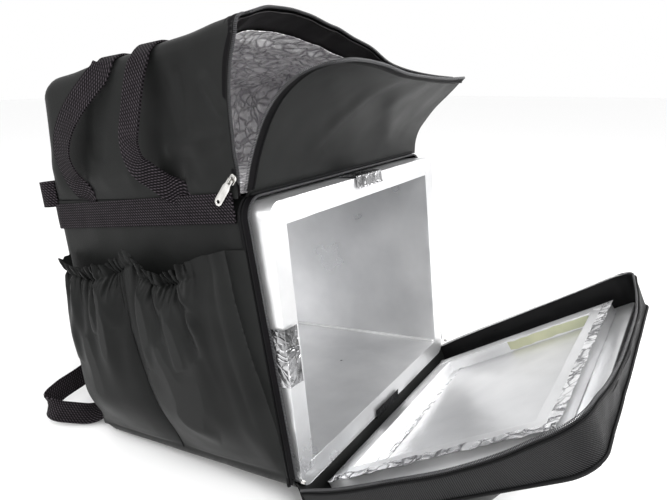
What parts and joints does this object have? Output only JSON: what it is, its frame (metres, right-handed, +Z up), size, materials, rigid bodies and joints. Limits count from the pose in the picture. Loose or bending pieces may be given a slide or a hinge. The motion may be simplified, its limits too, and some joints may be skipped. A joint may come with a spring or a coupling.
{
  "type": "insulated delivery backpack",
  "caption": "Square insulated delivery backpack standing open: foil-faced foam box, hinged cloth door with insulating plug, zipped upper compartment, side pockets, handles and shoulder straps.",
  "frame": {"origin": "middle of the whole part's footprint, on the ground", "axes": "+Z up; the bag's mouth and open door face -Y, its back with the shoulder straps faces +Y; +X is to the right seen from the front"},
  "size_m": [0.5122, 0.7748, 0.5742],
  "materials": {
    "nylon": "charcoal-black coated nylon, fine plain weave with a soft sheen",
    "webbing": "black woven webbing with a diagonal rib",
    "zip": "black nylon coil zip on woven tape",
    "padding": "black padded mesh and nylon, sewn edges",
    "foil": "aluminium foil face on foam, slightly dented and creased",
    "lining": "thin crinkled silver lining",
    "nickel": "nickel-plated zip metal with light wear"
  },
  "bodies": {
    "bag": {"shell_lower": "nylon", "foam_box": "foil", "rim_clip_left": "foil", "rim_clip_top": "foil", "rim_clip_bottom": "webbing", "shell_piping": "webbing", "door_zip_shell": "zip", "zip_stop_left": "nickel", "zip_stop_right": "nickel", "hinge_strip": "nylon", "door_panel": "nylon", "door_gusset": "webbing", "door_zip_door": "zip", "door_pouch": "nylon", "door_board": "foil", "door_plug": "foil", "shell_upper": "nylon", "upper_facing": "webbing", "upper_lining": "lining", "upper_zip": "zip", "front_flap": "nylon", "flap_zip": "zip", "zip_slider": "nickel", "side_band": "webbing", "handle_left": "webbing", "side_pocket_left": "nylon", "corner_tab_left": "webbing", "shoulder_strap_left": "padding", "strap_tail_left": "nylon", "handle_right": "webbing", "side_pocket_right": "nylon", "corner_tab_right": "webbing", "shoulder_strap_right": "padding", "strap_tail_right": "nylon"},
    "pull": {"zip_pull": "nickel"}
  },
  "joints": [
    {"name": "pull_swing", "type": "hinge", "parent": "bag", "child": "pull", "pos_m": [-0.2269, -0.00607, 0.40133], "axis": [0, 0.7983, 0.6023], "range_deg": [0, 150]}
  ]
}
